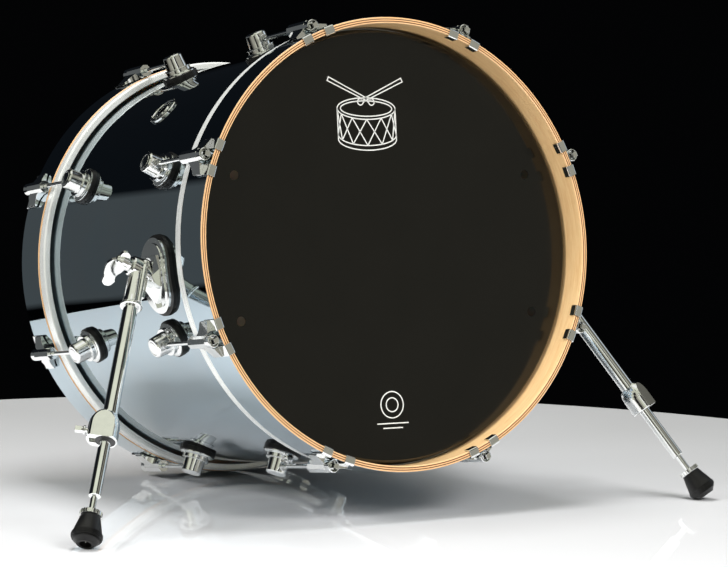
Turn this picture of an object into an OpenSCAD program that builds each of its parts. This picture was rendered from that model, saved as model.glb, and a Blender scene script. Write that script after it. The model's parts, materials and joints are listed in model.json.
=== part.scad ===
// Bass drum on two folding spurs. All sizes are in millimetres.
// The drum stands on its rear hoop and on the two rubber feet, at Z = 0.
// +X is the right-hand side seen from the front, -Y is the front (resonant) side.

/* [Shell] */
// Outside diameter of the ply shell
shell_d = 558.8; // [550:0.1:570]
// Depth of the shell between its two bearing edges
shell_depth = 457.2; // [440:0.1:480]
// Thickness of the shell wall
shell_wall = 8; // [6:0.5:10]

/* [Hoops] */
// Thickness of the wooden hoops
hoop_wall = 8; // [7:0.5:9]
// Width of the wooden hoops along the drum
hoop_width = 54.5; // [50:0.5:58]
// How far a hoop stands proud of its drumhead
hoop_reach = 36; // [32:1:38]
// Radial gap between the shell and a wooden hoop
hoop_gap = 5.6; // [5.4:0.1:6]
// Height of the metal flesh hoop that carries the head
flesh_height = 16.5; // [14:0.5:20]

/* [Stance] */
// How far the front of the drum is tipped up, in degrees
pitch = 7; // [4:0.5:9]

/* [Lugs] */
// Distance of each lug from the middle of the shell
lug_from_mid = 118; // [105:1:125]
// Height of a lug above the shell
lug_height = 34.6; // [32:0.2:38]
// Distance of a tension rod's axis from the outside of the hoop
rod_standoff = 9; // [9:0.2:10]

/* [Spurs] */
// Outward lean of a spur's folding plane, in degrees
spur_lean = 26; // [22:1:30]
// Forward swing of a spur from straight down, in degrees
spur_swing = 22; // [15:1:28]
// Outside diameter of a spur's upper tube
tube_d = 19; // [18:0.5:20]
// Diameter of a spur's inner rod
rod_d = 15; // [14:0.5:15]

/* [Hidden] */
side_names = ["left", "right"];
end_names = ["front", "rear"];
lug_count = 8;

// Facet counts: rings that run round the drum, small turned parts, hull outlines
ring_fn = 180;
turned_fn = 64;
hull_fn = 32;
// Overshoot of a cutting tool, so that it never ends flush with what it cuts
cut = 1;

// Shell and hoops: radii from the drum's axis, and distances from its middle
shell_r = shell_d / 2;
shell_in = shell_r - shell_wall;
edge_y = shell_depth / 2;
hoop_in = shell_r + hoop_gap;
hoop_r = hoop_in + hoop_wall;
lip_y = edge_y + hoop_reach;
hoop_back = lip_y - hoop_width;
flesh_back = hoop_back - flesh_height;
flesh_in = hoop_in - 2.5;
flesh_r = hoop_r - 0.9;
flesh_round = 3;
film = 0.6;
vent_ring_r = 240;
vent_hole_r = 6.2;

// Lugs, claws and tension rods
lug_step = 360 / lug_count;
gasket_t = 5.4;
gasket_r = 25;
lug_seat = shell_r + gasket_t;
lug_top = shell_r + lug_height;
screw_r = 2.5;
rod_axis = hoop_r + rod_standoff;
rod_r = 2.9;
swivel_r = 4.95;
run = 0.05;
mouth_y = lip_y - 12.4;
washer_t = 1.2;
rod_end = lip_y + 3;
square_key = 6.35;
liner_t = 0.5;
hook_t = 1.5;
hook_w = 14;
hook_spread = asin(17.5 / hoop_r);
claw_back = lip_y - 51;
claw_len = 43;

// Badge round the air vent
badge_angle = -45;
badge_r = 22;
vent_r = 5.5;

// Spurs: the bracket's place on the shell and the folding pin's place
bracket_angle = 95.5;
bracket_y = -125;
bracket_seat = shell_r + 5;
bracket_face = bracket_seat + 4.2;
bracket_half_w = 33;
bracket_half_l = 49;
pedestal_outline = [[-26, -16], [-26, 16], [-8, 21], [14, 18], [38, 0], [14, -18], [-8, -21]];
pivot = [307, -120, -18];
pin_r = 4;
wing_turn = 150;
head_back = -12.7;
head_front = 13;
head_clear_r = 18.5;
collar_z = 60;
clamp_top = 213;
clamp_end = 257;
clamp_turn = -35;
clamp_screw_z = clamp_end - 13;
tube_end = 240;
foot_len = 37.5;
foot_tip_r = 11;
foot_wide_r = 19.5;
foot_ribs = 5;
rib_pitch = 1.7;
rib_t = 1.1;
rib_groove = 0.7;
nut_r = 14;
nut_t = 5.4;
neck_r = 4.2;

// The whole stance follows from standing the rear hoop and the feet on Z = 0
drum_z = hoop_r * cos(pitch) + lip_y * sin(pitch);
pivot_z = drum_z - pivot[1] * sin(pitch) + pivot[2] * cos(pitch);
pivot_y = pivot[1] * cos(pitch) + pivot[2] * sin(pitch);
leg_drop = cos(spur_swing) * cos(spur_lean) * cos(pitch) - sin(spur_swing) * sin(pitch);
leg_forward = sin(spur_swing) * cos(pitch) + cos(spur_swing) * cos(spur_lean) * sin(pitch);
foot_end = (pivot_z - foot_tip_r * sqrt(1 - leg_drop * leg_drop)) / leg_drop;
foot_top = foot_end - foot_len;
nut_z = foot_top - 0.5 - nut_t;
neck_z = nut_z - 22;
foot_wide_z = foot_end - 11.7;
rib_reach = [for (k = [0:foot_ribs - 1]) leg_forward * (rib_z(k) + rib_t)
    + rib_r(k) * sqrt(1 - leg_forward * leg_forward)];
front_reach = max(rib_reach) - pivot_y;
rear_reach = rod_end * cos(pitch)
    + (rod_axis * cos(lug_step / 2) + square_key / 2) * sin(pitch);
drum_y = (front_reach - rear_reach) / 2;

lacquer = "#0b1118";
chrome = "#d8dadd";
black_rubber = "#191919";
steel = "#a9abae";

// Radius and start of each rib round the widest part of a foot
function rib_r(k) = foot_wide_r - 0.3 * (k - 1) * (k - 1);
function rib_z(k) = foot_wide_z + rib_pitch * (k - 1);

// Points of an arc, for outlines
function arc(c, r, a0, a1, n) =
    [for (i = [0:n]) let (a = a0 + (a1 - a0) * i / n) [c[0] + r * cos(a), c[1] + r * sin(a)]];

// ---- Places -------------------------------------------------------------

// The drum's own frame: origin at its middle, Y along its axis
module on_drum() translate([0, drum_y, drum_z]) rotate([-pitch, 0, 0]) children();

// One end of the drum: +Y runs outwards to that end (0 is the front, 1 is the rear)
module at_end(e) rotate([0, 0, e == 0 ? 180 : 0]) children();

// One lug's frame: Z is radial, +Y runs outwards to the hoop
module at_lug(e, i) rotate([0, lug_step * (i + 0.5), 0]) at_end(e) children();
module at_lugs(e) for (i = [0:lug_count - 1]) at_lug(e, i) children();

// Mirrors what is built for the right-hand side when s is 0
module on_side(s) {
    if (s == 0) mirror([1, 0, 0]) children();
    else children();
}

// The bracket's frame: Z is radial, X runs down the shell, Y along the drum
module at_bracket() rotate([0, bracket_angle, 0]) translate([0, bracket_y, 0]) children();

// A spur's frame: origin on the folding pin, Z down the leg, X outwards along the pin
module at_leg() {
    translate(pivot) rotate([0, -spur_lean, 0]) rotate([180 - spur_swing, 0, 0]) children();
}

// The badge's frame: Z is radial
module at_badge() rotate([0, badge_angle, 0]) children();

// ---- Shapes -------------------------------------------------------------

// A ring about the drum's axis from an outline of [radius, y] points
module spun(points) rotate([-90, 0, 0]) rotate_extrude($fn = ring_fn) polygon(points);

// A turned part about Y from an outline of [radius, y] points
module turned_y(points) rotate([-90, 0, 0]) rotate_extrude($fn = turned_fn) polygon(points);

// A turned part about Z from an outline of [radius, z] points
module turned_z(points) rotate_extrude($fn = turned_fn) polygon(points);

// A turned part about X from an outline of [radius, x] points
module turned_x(points) rotate([0, 90, 0]) rotate_extrude($fn = turned_fn) polygon(points);

// A round bar or hole along Y from y0 to y1
module bar_y(r, y0, y1) {
    translate([0, y0, 0]) rotate([-90, 0, 0]) cylinder(r = r, h = y1 - y0, $fn = turned_fn);
}

// A round bar or hole along X from x0 to x1
module bar_x(r, x0, x1) {
    translate([x0, 0, 0]) rotate([0, 90, 0]) cylinder(r = r, h = x1 - x0, $fn = turned_fn);
}

// A round bar or hole along Z from z0 to z1
module bar_z(r, z0, z1) {
    translate([0, 0, z0]) cylinder(r = r, h = z1 - z0, $fn = turned_fn);
}

// A block between two corners
module block(low, high) translate(low) cube(high - low);

// A drum-sized cylinder of radius r, used to trim parts to the shell's curve
module drum_solid(r, over = 0) {
    long = 2 * (edge_y + over);
    rotate([90, 0, 0]) cylinder(r = r, h = long, center = true, $fn = ring_fn);
}

// An oval with straight sides: half length along X, half width along Y
module oval(half_l, half_w) {
    translate([-(half_l - half_w), 0]) circle(r = half_w, $fn = turned_fn);
    translate([half_l - half_w, 0]) circle(r = half_w, $fn = turned_fn);
    square([2 * (half_l - half_w), 2 * half_w], center = true);
}

// The square end that a drum key fits, along Y
module key_square(y0, y1) {
    translate([-square_key / 2, y0, -square_key / 2]) cube([square_key, y1 - y0, square_key]);
}

// ---- Shell and heads ----------------------------------------------------

module shell() {
    peak = shell_r - 3;
    color(lacquer) on_drum() difference() {
        spun([[shell_in, -edge_y + 5], [peak, -edge_y], [shell_r, -edge_y + 2],
              [shell_r, edge_y - 2], [peak, edge_y], [shell_in, edge_y - 5]]);
        for (e = [0, 1]) at_lugs(e) translate([0, lug_from_mid, 0]) bar_z(3, shell_in - 5, shell_r + 5);
        for (s = [0, 1]) on_side(s) at_bracket() bracket_holes(3, shell_in - 15, shell_r + 10);
        at_badge() bar_z(8.1, shell_in - 5, shell_r + 5);
    }
}

// A film head with its collar; the rim runs down into the flesh hoop
module head_film() {
    rim_y = hoop_back - 9;
    spun([[0, edge_y], [shell_r - 2, edge_y], [shell_r + 0.6, edge_y - 2.2],
          [flesh_in + 0.9, hoop_back + 1], [flesh_in + 0.9, rim_y],
          [flesh_in + 0.9 + film, rim_y], [flesh_in + 0.9 + film, hoop_back + 1.2],
          [shell_r + 0.6 + film, edge_y - 2], [shell_r - 1.7, edge_y + film], [0, edge_y + film]]);
}

module front_head() {
    color("#14130f") on_drum() difference() {
        at_end(0) head_film();
        for (a = [67.5, 112.5, -67.5, -112.5]) {
            rotate([0, a, 0]) translate([0, 0, vent_ring_r])
                bar_y(vent_hole_r, -edge_y - 5, -edge_y + 5);
        }
    }
}

module rear_head() color("#dcdcd6") on_drum() at_end(1) head_film();

// Metal ring with a groove that holds the rim of the film
module flesh_hoop() {
    groove_in = flesh_in + 0.7;
    groove_out = flesh_in + 1.8;
    groove_y = hoop_back - 12;
    corner = flesh_r - flesh_round;
    spun(concat(
        [[flesh_in, flesh_back + 1], [flesh_in + 1, flesh_back]],
        arc([corner, flesh_back + flesh_round], flesh_round, -90, 0, 5),
        arc([corner, hoop_back - flesh_round], flesh_round, 0, 90, 5),
        [[groove_out, hoop_back], [groove_out, groove_y], [groove_in, groove_y],
         [groove_in, hoop_back], [flesh_in, hoop_back]]));
}

module front_flesh_hoop() color(chrome) on_drum() at_end(0) flesh_hoop();
module rear_flesh_hoop() color(chrome) on_drum() at_end(1) flesh_hoop();

module wooden_hoop() {
    c = 0.8;
    spun([[hoop_in, hoop_back], [hoop_r - c, hoop_back], [hoop_r, hoop_back + c],
          [hoop_r, lip_y - c], [hoop_r - c, lip_y], [hoop_in + c, lip_y], [hoop_in, lip_y - c]]);
}

module front_hoop() color("#c99a66") on_drum() at_end(0) wooden_hoop();
module rear_hoop() color("#c99a66") on_drum() at_end(1) wooden_hoop();

// ---- Lugs ---------------------------------------------------------------

module lug_body() {
    ledge = lug_seat + 9.2;
    difference() {
        translate([0, lug_from_mid, 0]) union() {
            turned_z([[0, lug_seat], [23.2, lug_seat], [23.2, lug_seat + 1.4], [22, lug_seat + 2.2],
                      [18.3, lug_seat + 3.4], [18, ledge - 1.4], [18.7, ledge - 1.2],
                      [18.7, ledge - 0.3],
                      [18.3, ledge], [14.8, ledge], [13.6, lug_top - 3.2], [13, lug_top - 2],
                      [11.8, lug_top - 1], [9.2, lug_top - 0.5], [8.8, lug_top - 1], [8.2, lug_top - 0.4],
                      [4, lug_top - 0.1], [0, lug_top]]);
            // Nose at the foot of the lug, pointing to the hoop
            translate([0, 0, lug_seat + 5.1]) {
                turned_y([[0, 8], [4.9, 8], [4.9, 18.5], [4.3, 20.8], [3.6, 22], [4.7, 22.4],
                          [4.7, 24.2], [4.2, 24.8], [0, 24.8]]);
            }
        }
        translate([0, 0, rod_axis]) bar_y(swivel_r + run, lug_from_mid - 9.5, lug_from_mid + 20);
        translate([0, lug_from_mid, 0]) bar_z(screw_r, lug_seat - cut, rod_axis - swivel_r - 1.5);
    }
}

module front_lugs() color(chrome) on_drum() at_lugs(0) lug_body();
module rear_lugs() color(chrome) on_drum() at_lugs(1) lug_body();

module lug_gaskets() {
    color(black_rubber) on_drum() for (e = [0, 1]) at_lugs(e) difference() {
        translate([0, lug_from_mid, 0]) {
            turned_z([[3, shell_r - 4], [gasket_r, shell_r - 4], [gasket_r, lug_seat - 0.8],
                      [gasket_r - 0.8, lug_seat], [3, lug_seat]]);
        }
        drum_solid(shell_r);
    }
}

// Nut that turns to line up with the tension rod
module swivel_nuts() {
    in = lug_from_mid - 9;
    out = lug_from_mid + 14.9;
    color(steel) on_drum() for (e = [0, 1]) at_lugs(e) translate([0, 0, rod_axis]) {
        turned_y([[rod_r + run, in], [swivel_r, in], [swivel_r, out], [6.2, out + 0.3], [6.2, out + 1.5],
                  [5.4, out + 2.2], [rod_r + 0.9, out + 2.2], [rod_r + run, out + 1.6]]);
    }
}

module lug_screws() {
    color(steel) on_drum() for (e = [0, 1]) at_lugs(e) translate([0, lug_from_mid, 0]) {
        bar_z(screw_r, shell_in - 1.9, lug_seat + 10);
        translate([0, 0, shell_in - 6]) cylinder(r = 5.2, h = 4.1, $fn = 6);
    }
}

module lug_washers() {
    color(steel) on_drum() for (e = [0, 1]) at_lugs(e) translate([0, lug_from_mid, 0]) difference() {
        bar_z(8, shell_in - 1.9, shell_in - 0.3);
        bar_z(3, shell_in - 3, shell_in + 1);
    }
}

// ---- Claws and tension rods ---------------------------------------------

// Outline of a claw's hook as [y, z] points, wrapped round the hoop's outer lip
module hook_outline(gap, t) {
    top = hoop_r + gap;
    low = hoop_in - gap;
    out = lip_y + gap;
    polygon(concat(
        [[lip_y - 24, top], [lip_y - 24, top + t]],
        arc([out + t - 3, top + t - 3], 3, 90, 0, 5),
        arc([out + t - 3, low - t + 3], 3, 0, -90, 5),
        [[lip_y - 9, low - t], [lip_y - 9, low]],
        [[out, low], [out, top]]));
}

module claw_hook() {
    rotate([90, 0, 90]) linear_extrude(height = hook_w, center = true) hook_outline(liner_t + 0.1, hook_t);
}

// Plan of the web that spreads from the barrel to one hook, as an [x, y] outline
module claw_plan() {
    reach = 24.3;
    root = 6.5;
    polygon(concat(
        [[0, claw_back + 1], [root, claw_back + 1]],
        arc([reach, claw_back + 1], reach - root, 180, 98, 8),
        [[reach, claw_back + 20], [reach, lip_y - 12], [10.7, lip_y - 12], [9, lip_y - 16],
         [0, lip_y - 16]]));
}

// One web: it slopes like a roof from the side of the barrel down to the hook
module claw_web(m) {
    seat = hoop_r + liner_t + 0.2;
    scale([m, 1, 1]) intersection() {
        translate([0, 0, seat]) linear_extrude(height = 20) claw_plan();
        translate([0, lip_y, 0]) rotate([90, 0, 0]) linear_extrude(height = 60)
            polygon([[-1, seat - cut], [26, seat - cut], [26, seat + 2], [24.3, seat + 2.6],
                     [6.9, rod_axis + 1.5], [-1, rod_axis + 1.5]]);
    }
}

module claw() {
    barrel_r = 8.6;
    difference() {
        union() {
            translate([0, claw_back - 7, rod_axis]) rotate([-90, 0, 0])
                cylinder(r = barrel_r, h = claw_len, $fn = 8);
            translate([0, 0, rod_axis]) turned_y([[0, claw_back + 20], [7.4, claw_back + 20],
                [8.2, lip_y - 10], [8.2, lip_y - 4], [7.6, lip_y - 3.4], [0, lip_y - 3.4]]);
            for (m = [-1, 1]) claw_web(m);
            for (m = [-1, 1]) rotate([0, m * hook_spread, 0]) claw_hook();
        }
        translate([0, 0, rod_axis]) {
            bar_y(3.3, claw_back - 10, lip_y);
            bar_y(6.9, mouth_y, lip_y);
        }
    }
}

module front_claws() color(chrome) on_drum() at_lugs(0) claw();
module rear_claws() color(chrome) on_drum() at_lugs(1) claw();

// Thin pads between the hooks and the hoops
module claw_liners() {
    color(black_rubber) on_drum() for (e = [0, 1]) at_lugs(e) for (m = [-1, 1]) {
        rotate([0, m * hook_spread, 0]) rotate([90, 0, 90]) {
            linear_extrude(height = hook_w - 1, center = true) polygon([
                [lip_y - 22, hoop_r], [lip_y - 22, hoop_r + liner_t], [lip_y + liner_t, hoop_r + liner_t],
                [lip_y + liner_t, hoop_in - liner_t], [lip_y - 8, hoop_in - liner_t],
                [lip_y - 8, hoop_in - 0.1], [lip_y, hoop_in - 0.1], [lip_y, hoop_r]]);
        }
    }
}

module rod_washers() {
    color(steel) on_drum() for (e = [0, 1]) at_lugs(e) translate([0, 0, rod_axis]) difference() {
        bar_y(6.6, mouth_y, mouth_y + washer_t);
        bar_y(3.2, mouth_y - 3, mouth_y + 3);
    }
}

module tension_rod(e, i) {
    seat = mouth_y + washer_t;
    color(chrome) on_drum() at_lug(e, i) translate([0, 0, rod_axis]) {
        turned_y([[0, lug_from_mid - 7], [rod_r - 0.6, lug_from_mid - 7], [rod_r, lug_from_mid - 6],
                  [rod_r, seat], [6.3, seat], [6.3, seat + 1.6], [5.4, seat + 3], [4.2, seat + 3.4],
                  [4.2, seat + 5], [0, seat + 5]]);
        key_square(seat + 4.5, rod_end);
    }
}

// ---- Badge and air vent -------------------------------------------------

module vent_badge() {
    rim = shell_r + 2.6;
    color(chrome) on_drum() difference() {
        union() {
            at_badge() difference() {
                turned_z([[0, shell_r - 3], [badge_r, shell_r - 3], [badge_r, rim - 1],
                          [badge_r - 1.2, rim], [badge_r - 2.8, rim], [badge_r - 3.6, rim - 1],
                          [10.4, rim - 1], [9.6, rim + 0.4], [6.6, rim + 0.4], [0, rim - 0.4]]);
                // Ring of pierced holes between the hub and the rim
                for (k = [0:11]) rotate([0, 0, 30 * k]) translate([14.4, 0, 0])
                    bar_z(2.6, shell_r - 10, rim + 5);
                rotate([0, -badge_angle, 0]) drum_solid(shell_r);
            }
            at_badge() bar_z(8, shell_in - 8, shell_r + 1);
        }
        at_badge() bar_z(vent_r, shell_in - 20, shell_r + 10);
    }
}

module vent_nut() {
    color(steel) on_drum() at_badge() difference() {
        bar_z(14, shell_in - 5, shell_in - 0.4);
        bar_z(8, shell_in - 10, shell_in + 5);
    }
}

// ---- Spur brackets ------------------------------------------------------

// The bracket's four screw holes or shanks between two radii
module bracket_holes(r, z0, z1) {
    for (x = [-30, 30]) for (y = [-15, 15]) translate([x, y, 0]) bar_z(r, z0, z1);
}

// A slab with an oval outline, bent to the shell between two radii
module bent_oval(half_l, half_w, r0, r1) {
    difference() {
        intersection() {
            at_bracket() translate([0, 0, r0 - 12]) linear_extrude(height = r1 - r0 + 20)
                oval(half_l, half_w);
            drum_solid(r1);
        }
        drum_solid(r0, cut);
    }
}

module bracket_gaskets() {
    color(black_rubber) on_drum() for (s = [0, 1]) on_side(s) difference() {
        bent_oval(bracket_half_l + 3.4, bracket_half_w + 3.4, shell_r, bracket_seat);
        at_bracket() bracket_holes(3, shell_in, bracket_face);
    }
}

// The bracket's round face that the folding head turns against
module pin_disc(r, h) {
    at_leg() rotate([0, 90, 0]) translate([0, 0, head_back - 7]) cylinder(r = r, h = h, $fn = hull_fn);
}

// Oval base with a faceted pedestal that carries the folding pin
module bracket(s) {
    color(chrome) on_drum() on_side(s) difference() {
        union() {
            bent_oval(bracket_half_l, bracket_half_w, bracket_seat, bracket_face);
            intersection() {
                at_bracket() translate([0, 0, bracket_seat - 4]) linear_extrude(height = 12)
                    oval(bracket_half_l - 7, bracket_half_w - 7);
                drum_solid(bracket_face + 1.6);
            }
            hull() {
                at_bracket() translate([0, 0, bracket_seat + 1]) linear_extrude(height = 5.7)
                    polygon(pedestal_outline);
                pin_disc(15.5, 7.6);
            }
            // Keel down the middle of the pedestal
            hull() {
                at_bracket() block([10, -2, bracket_seat + 1.5], [41, 2, bracket_face + 3]);
                pin_disc(5, 5.2);
            }
        }
        drum_solid(bracket_seat, cut);
        at_leg() {
            bar_x(pin_r + run, head_back - 13, 0);
            bar_x(head_clear_r, head_back - 0.2, head_back + 30);
        }
        at_bracket() bracket_holes(screw_r, shell_in, bracket_face - 1);
    }
}

module backing_plates() {
    color(steel) on_drum() for (s = [0, 1]) on_side(s) difference() {
        bent_oval(42, 26, shell_in - 2, shell_in);
        at_bracket() bracket_holes(3, shell_in - 15, shell_r);
    }
}

module bracket_screws() {
    color(steel) on_drum() for (s = [0, 1]) on_side(s) at_bracket() {
        bracket_holes(screw_r, shell_in - 5.2, bracket_face - 1.2);
        for (x = [-30, 30]) for (y = [-15, 15]) {
            translate([x, y, shell_in - 8.4]) cylinder(r = 4.8, h = 4, $fn = 6);
        }
    }
}

// ---- Spur legs ----------------------------------------------------------

// A part of one leg, built in the spur's own frame
module leg_part(s, c) color(c) on_drum() on_side(s) at_leg() children();

// Casting that folds on the pin and grips the upper tube
module leg_head(s) {
    lip = collar_z - 4;
    leg_part(s, chrome) difference() {
        union() {
            turned_x([[0, head_back], [16.5, head_back], [16.5, head_back + 8], [15, head_back + 10.5],
                      [13, head_front - 2], [12, head_front], [0, head_front]]);
            turned_z([[0, 2], [11.2, 2], [11.6, collar_z - 14], [12, lip - 2], [14, lip], [14.4, lip + 0.8],
                      [14.4, lip + 2.2], [14, lip + 3], [12.6, collar_z], [0, collar_z]]);
            // Ridge along the front of the casting, with a round knob at its top
            translate([-3, 11.5, -4]) {
                sphere(r = 6, $fn = turned_fn);
                cylinder(r1 = 5, r2 = 3, h = collar_z - 2, $fn = turned_fn);
            }
            block([-11, -10, 0], [-3, 10, collar_z - 16]);
        }
        bar_x(pin_r + run, head_back - cut, head_front + cut);
        bar_z(tube_d / 2, 20, collar_z + cut);
    }
}

module leg_tube(s) {
    leg_part(s, chrome) difference() {
        bar_z(tube_d / 2, 20, tube_end);
        bar_z(rod_d / 2 + 0.6, 20 - cut, tube_end + cut);
    }
}

// Bolt with one long thumb wing and a short stub opposite
module wing_bolt(s) {
    hub = head_front + 0.3;
    wing_t = 5;
    wing = concat([[hub + 1, 0], [hub + 2, 7]], arc([hub - 4, 22], 10.6, -40, 44, 6),
                  arc([hub + 12, 32], 7.5, 160, 20, 8), arc([hub - 4, 9], 31, 40, 4, 7),
                  [[hub + 24, 4], [hub + 20, 0]]);
    stub = concat([[hub + 4, 0]], arc([hub + 12, 8], 6.5, 190, -10, 8), [[hub + 18, 0]]);
    leg_part(s, chrome) {
        turned_x([[0, head_back - 9], [pin_r, head_back - 9], [pin_r, hub], [8.6, hub], [9.2, hub + 1],
                  [9.2, hub + 5], [8.2, hub + 13], [6, hub + 18], [3.4, hub + 20], [0, hub + 20.6]]);
        rotate([wing_turn, 0, 0]) {
            translate([0, 0, -wing_t / 2]) linear_extrude(height = wing_t) polygon(wing);
            mirror([0, 1, 0]) translate([0, 0, -wing_t / 2]) linear_extrude(height = wing_t) polygon(stub);
        }
    }
}

// Domed clamp at the end of the tube that locks the inner rod
module leg_clamp(s) {
    dome_r = 19.5;
    shoulder = clamp_end - 19;
    dome = [for (i = [0:9]) let (a = 9 * i) [dome_r * cos(a), shoulder + (clamp_top - shoulder) * sin(a)]];
    leg_part(s, chrome) rotate([0, 0, clamp_turn]) difference() {
        intersection() {
            translate([4.5, 0, 0]) {
                turned_z(concat([[0, clamp_end], [dome_r - 1, clamp_end], [dome_r, clamp_end - 1]], dome,
                                [[0, clamp_top]]));
            }
            block([-40, -14, clamp_top - cut], [40, 14, clamp_end + cut]);
        }
        bar_z(tube_d / 2, clamp_top - cut, tube_end);
        bar_z(11.1, tube_end - cut, clamp_end + cut);
        // Pocket in the open end, with a notch beside the screw
        bar_z(13, clamp_end - 3, clamp_end + cut);
        block([8, -5, clamp_end - 9], [20, 5, clamp_end + cut]);
        translate([0, 0, clamp_screw_z]) bar_x(3.05, 8, 40);
    }
}

// Bush round the inner rod
module clamp_bush(s) {
    leg_part(s, black_rubber) turned_z([[rod_d / 2 + run, tube_end + 0.2], [11, tube_end + 0.2],
        [11, clamp_end - 2.4], [12.4, clamp_end - 2.4], [12.4, clamp_end - 0.8], [11.6, clamp_end],
        [rod_d / 2 + run, clamp_end]]);
}

module clamp_screw(s) {
    leg_part(s, chrome) rotate([0, 0, clamp_turn]) translate([0, 0, clamp_screw_z]) {
        turned_x([[0, 12], [3, 12], [3, 26.3], [5.6, 26.3], [5.6, 28.3], [4.2, 29.4], [4.2, 31], [0, 31]]);
        block([30, -square_key / 2, -square_key / 2], [39, square_key / 2, square_key / 2]);
    }
}

// Inner rod with a thin threaded neck that ends in a steel point
module leg_rod(s) {
    r = rod_d / 2;
    leg_part(s, chrome) turned_z([[0, 110], [r - 1, 110], [r, 111], [r, neck_z - 1], [r - 1, neck_z],
        [neck_r, neck_z], [neck_r, foot_end - 9], [0.6, foot_end - 2.5], [0, foot_end - 2.5]]);
}

module lock_nut(s) {
    notches = 20;
    leg_part(s, chrome) difference() {
        translate([0, 0, nut_z]) linear_extrude(height = nut_t) polygon([for (i = [0:notches - 1],
            p = [[0.16, 0], [0.42, 0], [0.5, 0.9], [0.86, 0.9], [0.94, 0]])
            let (a = 360 * (i + p[0]) / notches, r = nut_r - p[1]) [r * cos(a), r * sin(a)]]);
        bar_z(neck_r + run, nut_z - cut, nut_z + nut_t + cut);
    }
}

module rubber_foot(s) {
    ribs = [for (k = [0:foot_ribs - 1], p = [[0, 0], [0, rib_t], [-rib_groove, rib_t + 0.1],
        [-rib_groove, rib_pitch - 0.1]]) [rib_r(k) + p[0], rib_z(k) + p[1]]];
    leg_part(s, black_rubber) turned_z(concat(
        [[neck_r + run, foot_top], [11.8, foot_top], [12.4, foot_top + 0.8],
         [foot_wide_r - 1.2, rib_z(0) - 1], [foot_wide_r - 1.2, rib_z(0)]],
        ribs,
        [[foot_tip_r + 0.4, foot_end - 0.5], [foot_tip_r, foot_end], [7.4, foot_end],
         [6.6, foot_end - 12], [neck_r + run, foot_end - 12]]));
}

// ---- What is drawn ------------------------------------------------------

shell();
front_head();
rear_head();
front_flesh_hoop();
rear_flesh_hoop();
front_hoop();
rear_hoop();
front_lugs();
rear_lugs();
lug_gaskets();
swivel_nuts();
lug_screws();
lug_washers();
front_claws();
rear_claws();
claw_liners();
rod_washers();
vent_badge();
vent_nut();
bracket_gaskets();
backing_plates();
bracket_screws();
for (e = [0, 1]) for (i = [0:lug_count - 1]) {
    tension_rod(e, i);
}
for (s = [0, 1]) {
    bracket(s);
    wing_bolt(s);
    leg_head(s);
    leg_tube(s);
    leg_clamp(s);
    clamp_bush(s);
    clamp_screw(s);
    leg_rod(s);
    lock_nut(s);
    rubber_foot(s);
}
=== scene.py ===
import json
import math

import bmesh
import bpy
from mathutils import Matrix, Vector


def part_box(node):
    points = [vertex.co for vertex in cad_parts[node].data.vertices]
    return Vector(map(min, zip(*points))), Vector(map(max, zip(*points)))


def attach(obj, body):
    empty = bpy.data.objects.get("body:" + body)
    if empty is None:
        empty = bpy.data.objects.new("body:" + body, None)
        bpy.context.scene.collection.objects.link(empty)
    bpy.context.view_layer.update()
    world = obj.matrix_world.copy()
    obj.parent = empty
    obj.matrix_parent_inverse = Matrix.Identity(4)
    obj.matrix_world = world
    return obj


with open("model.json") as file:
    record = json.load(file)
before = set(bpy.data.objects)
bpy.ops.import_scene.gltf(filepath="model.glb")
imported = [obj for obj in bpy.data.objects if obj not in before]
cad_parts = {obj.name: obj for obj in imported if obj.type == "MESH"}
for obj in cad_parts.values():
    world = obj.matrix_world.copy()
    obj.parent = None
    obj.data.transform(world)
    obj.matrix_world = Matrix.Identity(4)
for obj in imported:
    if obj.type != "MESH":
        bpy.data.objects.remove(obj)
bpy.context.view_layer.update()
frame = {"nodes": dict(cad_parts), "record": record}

MM = 0.001

# ---- Sizes of the drum, in its own axes -------------------------------------

# The drum leans back; its axis is Y in its own coordinates
PITCH = math.radians(7)
shell_low, shell_high = (Vector(corner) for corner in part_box("shell"))
DRUM_CENTRE = (shell_low + shell_high) / 2
hoop_low, hoop_high = (Vector(corner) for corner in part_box("front_hoop"))
HOOP_WALL = 8 * MM
HOOP_IN = (hoop_high.x - hoop_low.x) / 2 - HOOP_WALL
# Along the axis from the drum's middle: the shell's edge, the hoop's outer and inner faces
EDGE_Y = 228.6 * MM
LIP_Y = EDGE_Y + 36 * MM
HOOP_BACK = LIP_Y - 54.5 * MM
HOOP_MIDDLE = (LIP_Y + HOOP_BACK) / 2
HOOP_HALF = (LIP_Y - HOOP_BACK) / 2
FILM_T = 0.6 * MM


# ---- Camera ---------------------------------------------------------------

CAMERA_PLACE = Vector((-1.8765, -3.1995, 0.5428))
CAMERA_YAW = math.radians(-31.68)
CAMERA_PITCH = math.radians(-3.92)
CAMERA_ROLL = math.radians(0.92)
CAMERA_LENS = 134.7


def make_camera():
    data = bpy.data.cameras.new("camera")
    data.lens = CAMERA_LENS
    data.sensor_width = 36
    data.clip_end = 50
    camera = bpy.data.objects.new("camera", data)
    forward = Vector((-math.sin(CAMERA_YAW) * math.cos(CAMERA_PITCH),
                      math.cos(CAMERA_YAW) * math.cos(CAMERA_PITCH),
                      math.sin(CAMERA_PITCH)))
    right = forward.cross(Vector((0, 0, 1))).normalized()
    up = right.cross(forward)
    rolled_right = right * math.cos(CAMERA_ROLL) + up * math.sin(CAMERA_ROLL)
    rolled_up = up * math.cos(CAMERA_ROLL) - right * math.sin(CAMERA_ROLL)
    turn = Matrix((rolled_right, rolled_up, -forward)).transposed()
    camera.matrix_world = Matrix.Translation(CAMERA_PLACE) @ turn.to_4x4()
    bpy.context.scene.collection.objects.link(camera)
    bpy.context.scene.camera = camera


make_camera()


# ---- Shader helpers ---------------------------------------------------------

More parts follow.
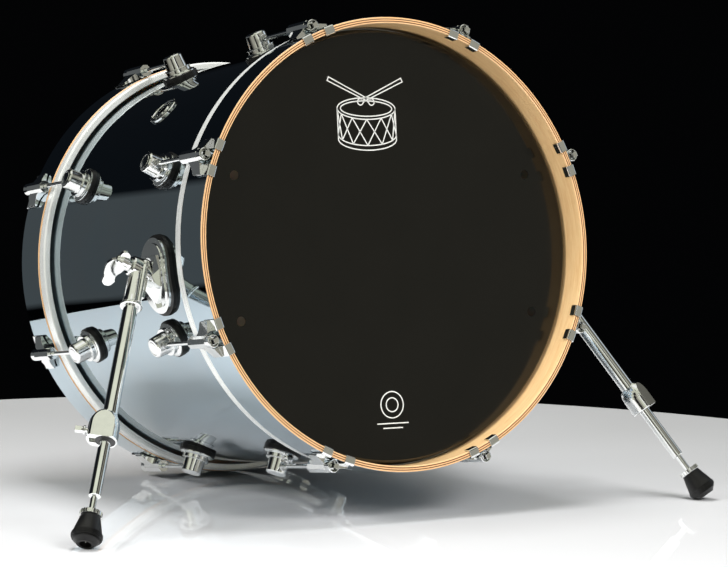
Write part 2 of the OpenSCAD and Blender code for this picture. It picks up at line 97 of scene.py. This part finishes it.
class Graph:
    """One procedural material or world, built node by node."""

    def __init__(self, name, owners=bpy.data.materials, surface="Principled BSDF", place="Object"):
        self.material = owners.new(name)
        self.material.use_nodes = True
        self.nodes = self.material.node_tree.nodes
        self.links = self.material.node_tree.links
        self.surface = self.nodes[surface]
        self.place = self.nodes.new("ShaderNodeTexCoord").outputs[place]

    def feed(self, socket, value):
        if isinstance(value, bpy.types.NodeSocket):
            self.links.new(value, socket)
        elif value is not None:
            socket.default_value = value

    def set(self, **values):
        for name, value in values.items():
            self.feed(self.surface.inputs[name.replace("_", " ")], value)

    def math(self, operation, a, b=None, c=None):
        node = self.nodes.new("ShaderNodeMath")
        node.operation = operation
        for socket, value in zip(node.inputs, (a, b, c)):
            self.feed(socket, value)
        return node.outputs[0]

    def joined(self, x, y, z):
        node = self.nodes.new("ShaderNodeCombineXYZ")
        for socket, value in zip(node.inputs, (x, y, z)):
            self.feed(socket, value)
        return node.outputs[0]

    def split(self, coords):
        node = self.nodes.new("ShaderNodeSeparateXYZ")
        self.feed(node.inputs[0], coords)
        return node.outputs

    def noise(self, coords, scale, detail=3, rough=0.5):
        node = self.nodes.new("ShaderNodeTexNoise")
        self.feed(node.inputs["Vector"], coords)
        node.inputs["Scale"].default_value = scale
        node.inputs["Detail"].default_value = detail
        node.inputs["Roughness"].default_value = rough
        return node.outputs[0]

    def ramp(self, value, *stops):
        """stops are (position, value) or (position, (r, g, b)), in order."""
        node = self.nodes.new("ShaderNodeValToRGB")
        self.feed(node.inputs[0], value)
        items = node.color_ramp.elements
        while len(items) < len(stops):
            items.new(0.5)
        for item, (position, colour) in zip(items, stops):
            if not isinstance(colour, tuple):
                colour = (colour, colour, colour)
            item.position = position
            item.color = (*colour, 1)
        return node.outputs[0]

    def remap(self, value, low, high, out_low, out_high):
        node = self.nodes.new("ShaderNodeMapRange")
        for socket, given in zip(node.inputs, (value, low, high, out_low, out_high)):
            self.feed(socket, given)
        return node.outputs[0]

    def mix(self, factor, a, b, blend="MIX"):
        node = self.nodes.new("ShaderNodeMix")
        node.data_type = "RGBA"
        node.blend_type = blend
        self.feed(node.inputs[0], factor)
        for socket, colour in ((node.inputs[6], a), (node.inputs[7], b)):
            self.feed(socket, (*colour, 1) if isinstance(colour, tuple) else colour)
        return node.outputs[2]

    def bump(self, height, distance, strength=1.0, edge=None):
        """Fine relief; with an edge radius, the sharp edges under it are eased as well."""
        node = self.nodes.new("ShaderNodeBump")
        node.inputs["Strength"].default_value = strength
        node.inputs["Distance"].default_value = distance
        self.feed(node.inputs["Height"], height)
        if edge:
            eased = self.nodes.new("ShaderNodeBevel")
            eased.samples = 4
            eased.inputs["Radius"].default_value = edge
            self.feed(node.inputs["Normal"], eased.outputs[0])
        self.feed(self.surface.inputs["Normal"], node.outputs[0])

    def drum_place(self):
        """Row-frame coordinates turned into the drum's own: Y along its axis, origin in its middle."""
        node = self.nodes.new("ShaderNodeMapping")
        self.feed(node.inputs["Vector"], self.place)
        node.inputs["Rotation"].default_value = (PITCH, 0, 0)
        node.inputs["Location"].default_value = -(Matrix.Rotation(PITCH, 3, "X") @ DRUM_CENTRE)
        return node.outputs[0]

    def round_drum(self):
        """(distance from the drum's axis, angle round it, distance along it)."""
        x, y, z = self.split(self.drum_place())
        radius = self.math("SQRT", self.math("ADD", self.math("MULTIPLY", x, x),
                                             self.math("MULTIPLY", z, z)))
        return radius, self.math("ARCTAN2", x, z), y


# ---- Materials --------------------------------------------------------------

def lacquer_colours(g):
    """Blue-black mirror lacquer over a metallic ground; its depth drifts slightly from place to place."""
    return g.ramp(g.noise(g.place, 5), (0.3, (0.34, 0.425, 0.48)), (0.7, (0.36, 0.45, 0.505)))


def shell_lacquer():
    g = Graph("shell_lacquer")
    g.set(Base_Color=lacquer_colours(g), Metallic=1.0,
          Roughness=g.remap(g.noise(g.place, 9, 4), 0.35, 0.7, 0.012, 0.035),
          Coat_Weight=0.3, Coat_Roughness=0.01, Coat_IOR=1.5)
    # Faint orange peel of a sprayed and buffed coat
    g.bump(g.noise(g.place, 180, 2), 0.00002, 0.2)
    return g.material


def maple(g, along, across, depth, pale, dark):
    """Long fine grain that runs along the first coordinate."""
    coords = g.joined(g.math("MULTIPLY", along, 1.6), g.math("MULTIPLY", across, 60),
                      g.math("MULTIPLY", depth, 60))
    streaks = g.noise(coords, 5, 6, 0.65)
    pores = g.noise(g.joined(g.math("MULTIPLY", along, 12), g.math("MULTIPLY", across, 300),
                             g.math("MULTIPLY", depth, 300)), 3, 2)
    colour = g.ramp(streaks, (0.32, dark), (0.62, pale))
    return g.mix(g.ramp(pores, (0.55, 0), (0.75, 0.35)), colour, dark), streaks


def hoop_wood():
    """Maple ply hoop: mirror lacquer outside, clear lacquer on its edges and inside."""
    g = Graph("hoop_wood")
    radius, angle, y = g.round_drum()
    grain, streaks = maple(g, angle, y, radius, (1.0, 0.69, 0.36), (0.88, 0.54, 0.25))
    # The edges show the plies: two dark glue lines between paler layers
    layer = g.math("DIVIDE", g.math("SUBTRACT", radius, HOOP_IN), HOOP_WALL)
    pale, mid, glue = (0.86, 0.55, 0.29), (0.76, 0.44, 0.21), (0.10, 0.026, 0.006)
    plies = g.ramp(layer,
                   (0.00, pale), (0.21, pale), (0.22, glue), (0.36, glue), (0.37, mid), (0.57, pale),
                   (0.58, glue), (0.72, glue), (0.73, pale), (0.94, mid))
    fleck = g.ramp(g.noise(g.joined(g.math("MULTIPLY", angle, 6), g.math("MULTIPLY", layer, 7), y), 6, 3),
                   (0.35, (0.88, 0.84, 0.80)), (0.65, (1.0, 1.0, 1.0)))
    edge = g.mix(1.0, plies, fleck, "MULTIPLY")
    from_middle = g.math("ABSOLUTE", g.math("SUBTRACT", g.math("ABSOLUTE", y), HOOP_MIDDLE))
    at_edge = g.math("GREATER_THAN", from_middle, HOOP_HALF - 0.9 * MM)
    wood = g.mix(at_edge, grain, edge)
    # Lacquer covers the outside and just turns over the corners
    outside = g.ramp(g.math("SUBTRACT", layer, g.math("MULTIPLY", g.noise(g.place, 90), 0.015)),
                     (0.955, 0), (0.965, 1))
    g.set(Base_Color=g.mix(outside, wood, lacquer_colours(g)), Metallic=outside, IOR=1.5,
          Roughness=g.mix(outside, (0.28, 0.28, 0.28), (0.025, 0.025, 0.025)),
          Coat_Weight=g.mix(outside, (0.35, 0.35, 0.35), (0.6, 0.6, 0.6)), Coat_Roughness=0.03)
    g.bump(streaks, 0.00005, 0.25)
    return g.material


def front_film():
    g = Graph("front_film")
    haze = g.noise(g.place, 14, 5, 0.6)
    g.set(Base_Color=g.ramp(haze, (0.3, (0.0022, 0.0020, 0.0015)), (0.7, (0.0032, 0.0029, 0.0022))),
          Roughness=g.remap(haze, 0.3, 0.7, 0.10, 0.18), IOR=1.45)
    g.bump(g.noise(g.place, 1500, 2), 0.00001, 0.2)
    return g.material


def rear_film():
    """Frosted coating, sprayed on clear film: pale, slightly uneven, with a fine tooth."""
    g = Graph("rear_film")
    cloud = g.noise(g.place, 7, 5, 0.6)
    speck = g.noise(g.place, 900, 2)
    colour = g.ramp(cloud, (0.3, (0.66, 0.66, 0.63)), (0.7, (0.76, 0.76, 0.73)))
    radius = g.round_drum()[0]
    # The beater's landing place is scuffed a little darker
    worn = g.math("MULTIPLY", g.ramp(radius, (0.0, 1.0), (0.045, 0.0)), g.noise(g.place, 60, 4))
    g.set(Base_Color=g.mix(g.math("MULTIPLY", worn, 0.5), colour, (0.42, 0.41, 0.38)),
          Roughness=g.remap(speck, 0.3, 0.7, 0.45, 0.65), IOR=1.45, Subsurface_Weight=0.08)
    g.bump(speck, 0.00003, 0.4)
    return g.material


def flesh_metal():
    """Extruded aluminium with fine lines round the ring."""
    g = Graph("flesh_metal")
    radius, angle, y = g.round_drum()
    lines = g.noise(g.joined(g.math("MULTIPLY", angle, 0.8), g.math("MULTIPLY", y, 900),
                             g.math("MULTIPLY", radius, 900)), 3, 4, 0.6)
    g.set(Base_Color=g.ramp(lines, (0.3, (0.76, 0.77, 0.76)), (0.7, (0.88, 0.89, 0.87))), Metallic=0.45,
          Roughness=g.remap(lines, 0.3, 0.7, 0.24, 0.38))
    g.bump(lines, 0.00002, 0.3)
    return g.material


def chrome(name, roughness=0.075):
    """Polished plate: faint polishing haze, a few wiped smudges, softly rolling cast ground."""
    g = Graph(name)
    smudge = g.noise(g.place, 38, 5, 0.62)
    g.set(Base_Color=g.ramp(smudge, (0.3, (0.78, 0.79, 0.79)), (0.7, (0.87, 0.88, 0.87))), Metallic=1.0,
          Roughness=g.remap(smudge, 0.42, 0.72, roughness, roughness + 0.06))
    g.bump(g.noise(g.place, 120, 2), 0.00003, 0.35, edge=0.5 * MM)
    return g.material


def zinc_steel():
    g = Graph("zinc_steel")
    crystal = g.noise(g.place, 420, 4, 0.7)
    g.set(Base_Color=g.ramp(crystal, (0.3, (0.50, 0.51, 0.52)), (0.7, (0.68, 0.69, 0.70))), Metallic=1.0,
          Roughness=g.remap(crystal, 0.3, 0.7, 0.22, 0.38))
    g.bump(crystal, 0.00003, 0.4)
    return g.material


def black_rubber():
    """Moulded rubber: fine stipple and a trace of dust."""
    g = Graph("black_rubber")
    stipple = g.noise(g.place, 1400, 3, 0.6)
    dust = g.noise(g.place, 55, 5, 0.65)
    g.set(Base_Color=g.ramp(dust, (0.40, (0.0035, 0.0035, 0.0038)), (0.78, (0.012, 0.0118, 0.0112))),
          Roughness=g.remap(stipple, 0.3, 0.7, 0.30, 0.46), IOR=1.5, Specular_IOR_Level=0.28)
    g.bump(stipple, 0.00006, 0.5)
    return g.material


def black_nylon():
    g = Graph("black_nylon")
    grain = g.noise(g.place, 900, 3)
    g.set(Base_Color=g.ramp(grain, (0.3, (0.012, 0.012, 0.012)), (0.7, (0.020, 0.020, 0.021))),
          Roughness=0.38, IOR=1.5)
    g.bump(grain, 0.00003, 0.4)
    return g.material


def white_ink():
    """Screen-printed ink: a little uneven in density."""
    g = Graph("white_ink")
    density = g.noise(g.place, 260, 3)
    g.set(Base_Color=g.ramp(density, (0.3, (0.66, 0.66, 0.64)), (0.7, (0.80, 0.80, 0.78))),
          Roughness=g.remap(density, 0.3, 0.7, 0.40, 0.55), IOR=1.45)
    g.bump(density, 0.00001, 0.3)
    return g.material


# One material for each slot of the record
PAINT = {
    "shell_lacquer": shell_lacquer(),
    "hoop_lacquer": hoop_wood(),
    "front_film": front_film(),
    "rear_film": rear_film(),
    "flesh_metal": flesh_metal(),
    "chrome": chrome("chrome_cast"),
    "steel": zinc_steel(),
    "rubber": black_rubber(),
    "black_plastic": black_nylon(),
}
TUBE_CHROME = chrome("chrome_tube", roughness=0.02)


def paint_cad():
    """Every CAD node gets the material of its slot; drawn tubes and rods are brighter than castings."""
    slots = {part["node"]: part["material_slot"] for part in frame["record"]["subparts"]}
    for name, node in frame["nodes"].items():
        drawn = name.endswith(("leg_tube", "leg_rod")) or "tension_rod" in name
        node.data.materials.clear()
        node.data.materials.append(TUBE_CHROME if drawn else PAINT[slots[name]])


paint_cad()


# ---- Printed marks on the front head ------------------------------------------

DRUM_TO_ROW = Matrix.Translation(DRUM_CENTRE) @ Matrix.Rotation(-PITCH, 4, "X")
INK_T = 0.12 * MM
# In millimetres on the head, from its middle: the line's width, the pictured drum's middle, its half
# width, the half depth of its rims, the heights of its rims from its middle
LINE = 1.5
DRUM_X, DRUM_Z = -22.7, 158.0
DRUM_WIDE, DRUM_DEEP = 44.0, 14.0
TOP_RIM, BAND, LOW_RIM = 20, -14, -20
LACES = 6
RING_X, RING_Z = -5, -206


def ellipse(cx, cz, rx, rz, start=0, end=360, steps=64):
    angles = [math.radians(start + (end - start) * i / steps) for i in range(steps + 1)]
    return [(cx + rx * math.cos(a), cz + rz * math.sin(a)) for a in angles]


def drumstick(x0, z0, x1, z1, r0, r1):
    """Outline of a stick from its butt to its rounded tip."""
    along = Vector((x1 - x0, z1 - z0)).normalized()
    side = Vector((-along.y, along.x))
    heading = math.degrees(math.atan2(along.y, along.x))
    neck = Vector((x1, z1)) - along * 11
    tip = ellipse(x1 - along.x * 4, z1 - along.y * 4, 4.2, 4.2, heading - 140, heading + 140, 20)
    butt = [tuple(Vector((x0, z0)) + side * r0), tuple(Vector((x0, z0)) - side * r0)]
    return butt + [tuple(neck - side * r1)] + tip + [tuple(neck + side * r1)]


def mark_strokes():
    """(outline, closed) in millimetres, for a generic drum with two sticks and a small ring below."""
    cx, cz, wide, deep = DRUM_X, DRUM_Z, DRUM_WIDE, DRUM_DEEP
    strokes = [(ellipse(cx, cz + TOP_RIM, wide, deep)[:-1], True),
               (ellipse(cx, cz + TOP_RIM, wide - 5, deep - 4)[:-1], True),
               (ellipse(cx, cz + LOW_RIM, wide, deep, 180, 360), False),
               (ellipse(cx, cz + BAND, wide, deep, 180, 360), False)]
    for side in (-1, 1):
        edge = cx + side * wide
        strokes.append(([(edge, cz + TOP_RIM), (edge, cz + LOW_RIM)], False))
        strokes.append((drumstick(cx - side * 56, cz + 58, cx + side * 12, cz + 27, 2.6, 1.7), True))
    for i in range(LACES):
        for j in (0, 1):
            top, low = (math.radians(180 + 180 * (i + k) / LACES) for k in (j, 1 - j))
            strokes.append(([(cx + wide * math.cos(top), cz + TOP_RIM + deep * math.sin(top)),
                             (cx + wide * math.cos(low), cz + BAND + deep * math.sin(low))], False))
    for radius in (17, 9):
        strokes.append((ellipse(RING_X, RING_Z, radius, radius)[:-1], True))
    for half, z in ((24, -230), (15, -236)):
        strokes.append(([(RING_X - half, z), (RING_X + half, z)], False))
    return strokes


def add_stroke(bm, outline, width, closed):
    """A thin raised line of ink along an outline in the head's plane."""
    points = [Vector(p) for p in outline]
    count = len(points)
    rings = []
    for i, point in enumerate(points):
        before = points[i - 1] if closed or i > 0 else point
        after = points[(i + 1) % count] if closed or i < count - 1 else point
        ways = [(b - a).normalized() for a, b in ((before, point), (point, after)) if (b - a).length > 1e-6]
        side = sum((Vector((-way.y, way.x)) for way in ways), Vector((0, 0))).normalized()
        reach = width / 2 / max(0.5, side.dot(Vector((-ways[0].y, ways[0].x))))
        one, two = point + side * reach, point - side * reach
        rings.append([bm.verts.new((c.x * MM, -EDGE_Y - FILM_T - lift, c.y * MM))
                      for c, lift in ((one, 0), (one, INK_T), (two, INK_T), (two, 0))])
    spans = count if closed else count - 1
    for i in range(spans):
        one, two = rings[i], rings[(i + 1) % count]
        for k in range(4):
            bm.faces.new((one[k], one[(k + 1) % 4], two[(k + 1) % 4], two[k]))
    if not closed:
        bm.faces.new(rings[0])
        bm.faces.new(reversed(rings[-1]))


def print_marks():
    bm = bmesh.new()
    for outline, closed in mark_strokes():
        add_stroke(bm, outline, LINE, closed)
    bmesh.ops.recalc_face_normals(bm, faces=bm.faces)
    bm.transform(DRUM_TO_ROW)
    mesh = bpy.data.meshes.new("head_marks")
    bm.to_mesh(mesh)
    bm.free()
    mesh.materials.append(white_ink())
    marks = bpy.data.objects.new("head_marks", mesh)
    bpy.context.scene.collection.objects.link(marks)
    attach(marks, "drum")


print_marks()


# ---- Studio -----------------------------------------------------------------

FLOOR_R = 1.1
FLOOR_CENTRE = Vector((0.06, 0.10, 0))
FLOOR_T = 0.02


def glossy_floor():
    g = Graph("glossy_floor")
    g.set(Base_Color=(0.80, 0.80, 0.82, 1), IOR=1.45,
          Roughness=g.remap(g.noise(g.place, 3, 3), 0.3, 0.7, 0.004, 0.012))
    return g.material


def make_floor():
    bpy.ops.mesh.primitive_cylinder_add(vertices=256, radius=FLOOR_R, depth=FLOOR_T,
                                        location=FLOOR_CENTRE - Vector((0, 0, FLOOR_T / 2)))
    floor = bpy.context.object
    floor.name = "floor"
    floor.data.materials.append(glossy_floor())


# Lamps: name, place, what it is aimed at, width, height, watts
SOFTBOXES = (
    ("overhead", (-0.1, 0.0, 2.8), (0, 0, 0), 1.2, 1.0, 66),
    ("left_key", (-3.6, -0.7, 2.5), (0, 0, 0.1), 1.4, 1.1, 98),
    ("back_fill", (-2.4, 1.4, 1.6), (0, 0, 0.3), 1.2, 0.8, 22),
    ("front", (0.4, -3.0, 2.3), (0, 0, 0.3), 1.6, 1.1, 100),
)
ROOM = (0.34, 0.33, 0.275)
LOW_CLOTH, HIGH_CLOTH = (0.0010, 0.0011, 0.0013), (0.0065, 0.0082, 0.0105)
CREAM, BLACK, SLATE = (0.62, 0.64, 0.52), (0.02, 0.02, 0.02), (0.104, 0.112, 0.114)
SOFT_WHITE, CEILING = (0.80, 0.82, 0.68), (1.05, 1.05, 1.02)
# Screens round the drum: degrees to the right of straight in front, degrees of height, colour
SCREENS = (
    (-94, -62, -14, 50, CREAM),
    (-58, -44, -40, 40, BLACK),
    (-34, -20, -10, 30, CREAM),
    (-20, -16, -10, 34, (1.35, 1.35, 1.32)),
    (-15, -2, -45, 34, BLACK),
    (-60, 20, 38, 55, CREAM),
    (76, 96, -20, 50, (0.66, 0.76, 0.86)),
    (56, 66, -45, 45, BLACK),
)
# A slate screen stands behind on the left, in two parts that meet straight behind
SLATE_SCREENS = ((-185, -80, -12.5, 12, SLATE), (175, 190, -12.5, 12, SLATE))


def softbox(name, place, aim, width, height, watts):
    """A lamp that lights the scene; the chrome mirrors the world's panels instead of it."""
    data = bpy.data.lights.new(name, "AREA")
    data.shape = "RECTANGLE"
    data.size, data.size_y = width, height
    data.energy = watts
    lamp = bpy.data.objects.new(name, data)
    lamp.visible_glossy = False
    lamp.location = place
    lamp.rotation_euler = (Vector(place) - Vector(aim)).to_track_quat("Z", "Y").to_euler()
    bpy.context.scene.collection.objects.link(lamp)


def studio_world():
    """Grey studio with pale screens in front, black cloth and a slate screen behind, white overhead."""
    g = Graph("studio", bpy.data.worlds, "Background", "Generated")
    x, y, z = g.split(g.place)
    degree = math.radians(1)
    around = g.math("ARCTAN2", x, g.math("MULTIPLY", y, -1))
    height = g.math("ARCSINE", z)

    def rise(value, low, high):
        return g.remap(value, low * degree, high * degree, 0, 1)

    def within(value, low, high, soft=0.8):
        return g.math("MULTIPLY", rise(value, low - soft, low + soft),
                      rise(value, high + soft, high - soft))

    def screen(below, left, right, bottom, top, colour):
        shape = g.math("MULTIPLY", within(around, left, right), within(height, bottom, top))
        return g.mix(shape, below, colour)

    # The room fades from the front to black cloth behind, which is a little lighter higher up
    cloth = g.mix(rise(height, 7, 12), LOW_CLOTH, HIGH_CLOTH)
    light = g.mix(g.remap(y, 0.45, -0.05, 0, 1), cloth, ROOM)
    light = g.mix(rise(height, 34, 50), light, BLACK)
    for panel in SCREENS:
        light = screen(light, *panel)
    light = g.mix(rise(height, 56, 60), light, SOFT_WHITE)
    light = g.mix(rise(height, 74, 78), light, CEILING)
    for panel in SLATE_SCREENS:
        light = screen(light, *panel)
    g.set(Color=light, Strength=1.0)
    return g.material


def make_studio():
    bpy.context.scene.world = studio_world()
    bpy.context.scene.view_settings.view_transform = "Standard"
    make_floor()
    for lamp in SOFTBOXES:
        softbox(*lamp)


make_studio()
